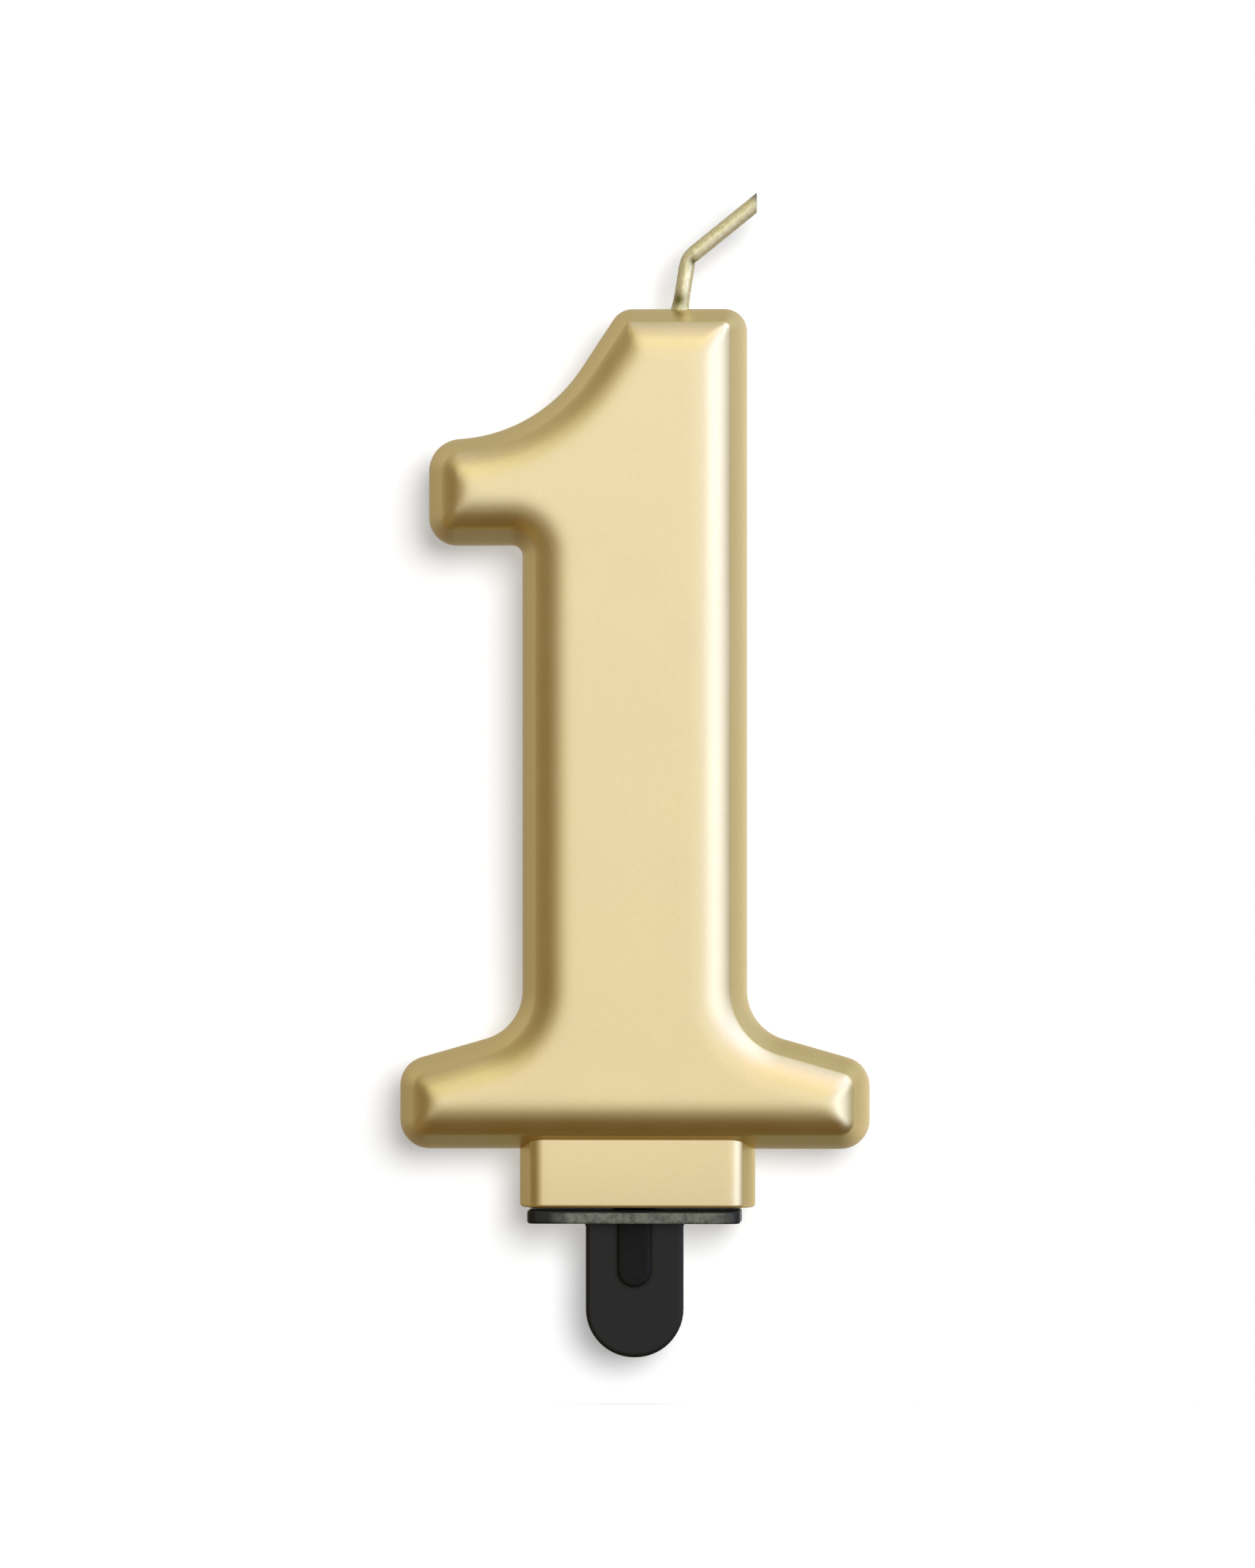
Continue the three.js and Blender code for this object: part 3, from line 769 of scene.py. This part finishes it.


# Black polystyrene, injection moulded in a lightly blasted mould: a dull satin black. The lower
# half of the flange's front edge carries a grey band: partly a smear of wax and lacquer from the
# dipping, partly a painted highlight.
blackPlastic = {
    # the second colour darkens the rib: painted shade
    "colour": "#121211", "darkTone": "#080808", "smearAndHighlight": "#74766B",
    "shine": 0.23,
    "roughness": 0.42, "lessRough": 0.05, "moreRough": 0.07,
    "grain": 0.3, "grainHeight": 0.004,
    "smearHighlightReach": 8.4, "smearHighlightTaper": 2,     # half width of the smear and painted highlight, and where it thins out
    "smearHighlightCentre": 0.8,
    "smearHighlightTop": 0.92, "smearHighlightFade": 0.1,
    "smearHighlightFrom": -2.6, "smearHighlightFull": -3.0,   # y at which it sets in, and is whole
    "smearHighlightGrain": 0.55, "smearHighlightLeast": 0.45,   # size of its flecks, and what lies between them
    "ribWidth": 1.6, "ribEnd": -4.2,        # half width of the rib, darkened with painted shade and duller, the centre of its end
    "ribOutside": 0.4, "ribInside": 0.6,    # how softly it starts
    "ribDuller": 0.3,
}


def plasticMaterial(look):
    material, tree = newMaterial("black polystyrene, injection moulded")
    place = addNode(tree, "ShaderNodeTexCoord")
    grain = addNode(
        tree, "ShaderNodeTexNoise",
        {"Scale": 1 / (look["grain"] * millimetre), "Detail": 3.0, "Roughness": 0.6},
        {"Vector": place.outputs["Object"]},
    )
    axes = addNode(tree, "ShaderNodeSeparateXYZ", links={"Vector": place.outputs["Object"]})
    # Grey band on the lower front edge of the flange: partly a wax smear, partly a painted
    # highlight
    front = addNode(
        tree, "ShaderNodeMapRange",
        {
            "From Min": look["smearHighlightFrom"] * millimetre,
            "From Max": look["smearHighlightFull"] * millimetre,
        },
        {"Value": axes.outputs["Y"]},
    )
    under = addNode(
        tree, "ShaderNodeMapRange",
        {
            "From Min": (look["smearHighlightTop"] + look["smearHighlightFade"]) * millimetre,
            "From Max": look["smearHighlightTop"] * millimetre,
        },
        {"Value": axes.outputs["Z"]},
    )
    across = addNode(
        tree, "ShaderNodeMath", {"operation": "SUBTRACT", 1: look["smearHighlightCentre"] * millimetre},
        {0: axes.outputs["X"]},
    )
    aside = addNode(tree, "ShaderNodeMath", {"operation": "ABSOLUTE"}, {0: across.outputs[0]})
    reach = addNode(
        tree, "ShaderNodeMapRange",
        {
            "From Min": look["smearHighlightReach"] * millimetre,
            "From Max": (look["smearHighlightReach"] - look["smearHighlightTaper"]) * millimetre,
        },
        {"Value": aside.outputs[0]},
    )
    patch = addNode(
        tree, "ShaderNodeTexNoise",
        {"Scale": 1 / (look["smearHighlightGrain"] * millimetre), "Detail": 3.0, "Roughness": 0.7},
        {"Vector": place.outputs["Object"]},
    )
    smearAndHighlight = addNode(
        tree, "ShaderNodeMapRange",
        {"From Min": 0.35, "From Max": 0.6, "To Min": look["smearHighlightLeast"]},
        {"Value": patch.outputs["Fac"]},
    )
    for limit in (front, under, reach):
        smearAndHighlight = addNode(
            tree, "ShaderNodeMath", {"operation": "MULTIPLY"},
            {0: smearAndHighlight.outputs[0], 1: limit.outputs[0]},
        )
    above = addNode(
        tree, "ShaderNodeMath", {"operation": "MAXIMUM", 1: look["ribEnd"] * millimetre},
        {0: axes.outputs["Z"]},
    )
    below = addNode(
        tree, "ShaderNodeMath", {"operation": "SUBTRACT"},
        {0: axes.outputs["Z"], 1: above.outputs[0]},
    )
    offset = addNode(
        tree, "ShaderNodeCombineXYZ", links={"X": axes.outputs["X"], "Z": below.outputs[0]},
    )
    fromRib = addNode(
        tree, "ShaderNodeVectorMath", {"operation": "LENGTH"}, {0: offset.outputs[0]},
    )
    ribbed = addNode(
        tree, "ShaderNodeMapRange",
        {
            "interpolation_type": "SMOOTHSTEP",
            "From Min": (look["ribWidth"] + look["ribOutside"]) * millimetre,
            "From Max": (look["ribWidth"] - look["ribInside"]) * millimetre,
        },
        {"Value": fromRib.outputs["Value"]},
    )
    # Painted shade: the rib is darker than the rest of the pick
    plain = addNode(
        tree, "ShaderNodeMix",
        {"data_type": "RGBA", 6: colourOf(look["colour"]), 7: colourOf(look["darkTone"])},
        {0: ribbed.outputs[0]},
    )
    # The smear and painted highlight laid over the plastic's colour
    colour = addNode(
        tree, "ShaderNodeMix", {"data_type": "RGBA", 7: colourOf(look["smearAndHighlight"])},
        {0: smearAndHighlight.outputs[0], 6: plain.outputs[2]},
    )
    gloss = addNode(
        tree, "ShaderNodeMapRange",
        {
            "From Min": 0.3, "To Min": look["roughness"] - look["lessRough"],
            "From Max": 0.7, "To Max": look["roughness"] + look["moreRough"],
        },
        {"Value": grain.outputs["Fac"]},
    )
    duller = addNode(
        tree, "ShaderNodeMath", {"operation": "MULTIPLY_ADD", 1: look["ribDuller"]},
        {0: ribbed.outputs[0], 2: gloss.outputs[0]},
    )
    bump = addNode(
        tree, "ShaderNodeBump", {"Strength": 0.4, "Distance": look["grainHeight"] * millimetre},
        {"Height": grain.outputs["Fac"]},
    )
    shader = addNode(
        tree, "ShaderNodeBsdfPrincipled", {"IOR": 1.59, "Specular IOR Level": look["shine"]},
        {
            "Base Color": colour.outputs[2], "Roughness": duller.outputs[0],
            "Normal": bump.outputs[0],
        },
    )
    finishMaterial(tree, shader)
    return material


# Cast paraffin wax: cream, light goes a little way into it, and the skin is faintly cloudy
wax = {
    "colour": "#F6EEDA", "cloudy": "#EFE3C6",
    "roughness": 0.45,
    "depth": 1.2,              # of the light's way
    "cloudGrain": 2.5, "cloudHeight": 0.03,
}


def waxMaterial(look):
    material, tree = newMaterial("paraffin wax, cast")
    place = addNode(tree, "ShaderNodeTexCoord")
    cloud = addNode(
        tree, "ShaderNodeTexNoise",
        {"Scale": 1 / (look["cloudGrain"] * millimetre), "Detail": 4.0, "Roughness": 0.55},
        {"Vector": place.outputs["Object"]},
    )
    colour = addNode(
        tree, "ShaderNodeMix",
        {"data_type": "RGBA", 6: colourOf(look["colour"]), 7: colourOf(look["cloudy"])},
        {0: cloud.outputs["Fac"]},
    )
    bump = addNode(
        tree, "ShaderNodeBump", {"Strength": 0.5, "Distance": look["cloudHeight"] * millimetre},
        {"Height": cloud.outputs["Fac"]},
    )
    shader = addNode(
        tree, "ShaderNodeBsdfPrincipled",
        {
            "Roughness": look["roughness"], "IOR": 1.43, "Subsurface Weight": 0.5,
            "Subsurface Radius": (1.0, 0.8, 0.5), "Subsurface Scale": look["depth"] * millimetre,
        },
        {"Base Color": colour.outputs[2], "Normal": bump.outputs[0]},
    )
    finishMaterial(tree, shader)
    return material


goldCoat.data.materials.clear()
goldCoat.data.materials.append(lacquerMaterial(lacquer))
cottonWick.data.materials.append(cottonMaterial(cotton))
mouldedPick.data.materials.clear()
mouldedPick.data.materials.append(plasticMaterial(blackPlastic))
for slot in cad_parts["wax_core"].material_slots:
    slot.material = waxMaterial(wax)
print("materials made")

# Studio: soft lights all round, each as its angle from the camera's axis, its angle round that
# axis from the right towards the top, how narrow it is, and its colour
studio = {
    "dim": (0.12, 0.06, 0.0),
    "lights": [
        (0, 90, 6.5, (0.89, 0.93, 0.83)),      # from the camera
        (0, 90, 15.0, (0.0, 0.0, 0.21)),       # and whiter in the middle
        (50, -6, 11.0, (1.15, 1.35, 2.0)),     # the bright line down the right bevels
        (52, 68, 12.0, (0.45, 0.28, 0.08)),    # and on round the sweep above the foot
        (74, 46, 6.0, (0.5, 0.72, 2.0)),       # right and up
        (42, 102, 11.0, (0.45, 0.52, 0.38)),   # the top bevels
        (54, 108, 4.5, (0.1, 0.07, 0.0)),      # and wider and warmer round them
        (80, -140, 6.0, (0.14, 0.11, 0.05)),   # left and down, on the lower left corners
        (92, 44, 3.0, (0.8, 0.88, 0.65)),      # right and up, level with the candle
        (120, -75, 10.0, (0.12, 0.16, 0.15)),  # behind, below
        (140, -30, 12.0, (0.45, 0.44, 0.4)),   # behind, right and down
        (125, 145, 3.0, (0.5, 0.5, 0.42)),     # behind, left
        (165, 10, 12.0, (0.75, 0.8, 1.0)),     # behind
        (180, 0, 5.0, (0.03, 0.07, 0.15)),     # the paper, on the outer edge of the walls
    ],
}


# Direction of a soft light, from the angles that the studio's list gives it
def lightDirection(fromAxis, roundAxis):
    tilt, turn = np.radians([fromAxis, roundAxis])
    return np.array([np.sin(tilt) * np.cos(turn), -np.cos(tilt), np.sin(tilt) * np.sin(turn)])


# World: each soft light is its colour times e to the power of narrowness times the cosine to its
# direction less one. Only glossy rays see them: the camera and transmission rays see plain
# white, and matt surfaces get nothing from the world.
def makeWorld():
    world = bpy.data.worlds.new("studio")
    bpy.context.scene.world = world
    world.use_nodes = True
    tree = world.node_tree
    tree.nodes.clear()
    place = addNode(tree, "ShaderNodeTexCoord")
    total = addNode(
        tree, "ShaderNodeVectorMath", {"operation": "ADD", 0: studio["dim"], 1: (0, 0, 0)},
    )
    for fromAxis, roundAxis, narrowness, colour in studio["lights"]:
        near = addNode(
            tree, "ShaderNodeVectorMath",
            {"operation": "DOT_PRODUCT", 1: lightDirection(fromAxis, roundAxis)},
            {0: place.outputs["Generated"]},
        )
        power = addNode(
            tree, "ShaderNodeMath", {"operation": "MULTIPLY_ADD", 1: narrowness, 2: -narrowness},
            {0: near.outputs["Value"]},
        )
        strength = addNode(
            tree, "ShaderNodeMath", {"operation": "EXPONENT"}, {0: power.outputs[0]},
        )
        light = addNode(
            tree, "ShaderNodeVectorMath", {"operation": "SCALE", 0: colour},
            {"Scale": strength.outputs[0]},
        )
        total = addNode(
            tree, "ShaderNodeVectorMath", {"operation": "ADD"},
            {0: total.outputs[0], 1: light.outputs[0]},
        )
    world.cycles_visibility.diffuse = False
    ray = addNode(tree, "ShaderNodeLightPath")
    seen = addNode(
        tree, "ShaderNodeMath", {"operation": "MAXIMUM"},
        {0: ray.outputs["Is Camera Ray"], 1: ray.outputs["Is Transmission Ray"]},
    )
    colour = addNode(
        tree, "ShaderNodeMix", {"data_type": "RGBA", 7: (1, 1, 1, 1)},
        {0: seen.outputs[0], 6: total.outputs[0]},
    )
    background = addNode(
        tree, "ShaderNodeBackground", {"Strength": 1.0}, {"Color": colour.outputs[2]},
    )
    addNode(tree, "ShaderNodeOutputWorld", links={"Surface": background.outputs[0]})


# Lamps for matt surfaces, each with the direction that its light comes from, its width across the
# sky in degrees and how much of plain white light it gives. Glossy rays don't see them.
lamps = {
    "key": {"from": (0.27, -1.0, 0.21), "width": 27, "light": 0.9},
    "overFloor": {"from": (0.15, -0.8, 1.0), "width": 40, "light": 0.9},
}
# White paper, behind the candle and as the floor: part glow and part matt white, so that it is
# plain white wherever nothing stands in its light and keeps a soft grey shadow. Each sheet is
# seen from its front only, so that no view of the candle is shut off.
paper = {
    "white": 1.02,
    "behindShare": 0.6,        # of the white that comes from the lamps, which a shadow can take
    "floorShare": 0.15,
    "behind": 6.35,            # y of the sheet behind the candle
    "floor": -16.5,            # below the pick's tip, as the candle lies on the sheet behind it
    "reach": 400.0,
}


# Direction towards a lamp, of length one
def lampDirection(lamp):
    return np.array(lamp["from"]) / np.linalg.norm(lamp["from"])


# Sun lamp. One that gives plain white on a facing surface has an energy of pi.
def addLamp(name, lamp, onlyOn=None):
    data = bpy.data.lights.new(name, "SUN")
    data.energy = np.pi * lamp["light"]
    data.angle = np.radians(lamp["width"])
    shining = bpy.data.objects.new(name, data)
    shining.rotation_euler = Vector(lampDirection(lamp)).to_track_quat("Z", "Y").to_euler()
    shining.visible_glossy = False
    bpy.context.scene.collection.objects.link(shining)
    if onlyOn:
        shining.light_linking.receiver_collection = bpy.data.collections.new(name)
        shining.light_linking.receiver_collection.objects.link(onlyOn)


# The matt part's colour is its share of the white over what the lamps give a surface that faces
# that way: each lamp's light times the cosine to its direction
def paperMaterial(name, facing, share, lampNames):
    material, tree = newMaterial(name)
    shining = [lamps[lampName] for lampName in lampNames]
    light = sum(lamp["light"] * max(lampDirection(lamp) @ facing, 0) for lamp in shining)
    matt = share / light
    white = addNode(tree, "ShaderNodeBsdfDiffuse", {"Color": (matt, matt, matt, 1)})
    glow = addNode(tree, "ShaderNodeEmission", {"Strength": paper["white"] - share})
    front = addNode(tree, "ShaderNodeAddShader", links={0: white.outputs[0], 1: glow.outputs[0]})
    side = addNode(tree, "ShaderNodeNewGeometry")
    clear = addNode(tree, "ShaderNodeBsdfTransparent")
    sheet = addNode(
        tree, "ShaderNodeMixShader",
        links={0: side.outputs["Backfacing"], 1: front.outputs[0], 2: clear.outputs[0]},
    )
    finishMaterial(tree, sheet)
    return material


# Flat sheet of paper: staged. It casts no shadow, and nothing mirrors it or is lit by it.
def addSheet(name, corners, material):
    mesh = bpy.data.meshes.new(name)
    mesh.from_pydata((np.array(corners) * millimetre).tolist(), [], [(0, 1, 2, 3)])
    mesh.materials.append(material)
    sheet = bpy.data.objects.new(name, mesh)
    bpy.context.scene.collection.objects.link(sheet)
    sheet.visible_diffuse = False
    sheet.visible_glossy = False
    sheet.visible_shadow = False
    return sheet


makeWorld()
wide, low, behind = paper["reach"], paper["floor"], paper["behind"]
addSheet(
    "paper_behind",
    [(-wide, behind, low), (wide, behind, low), (wide, behind, wide), (-wide, behind, wide)],
    paperMaterial("white paper behind the candle", (0, -1, 0), paper["behindShare"], ["key"]),
)
floor = addSheet(
    "floor",
    [(-wide, -wide, low), (wide, -wide, low), (wide, wide, low), (-wide, wide, low)],
    paperMaterial("white paper floor", (0, 0, 1), paper["floorShare"], ["key", "overFloor"]),
)
addLamp("key", lamps["key"])
addLamp("overFloor", lamps["overFloor"], floor)
print("studio made")

for piece, node, slotName in [
    (goldCoat, "gold_coat", "gold_lacquer"),
    (cottonWick, "wick", "gold_cotton"),
    (mouldedPick, "pick", "black_plastic"),
]:
    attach(piece, "root")
    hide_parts(node)
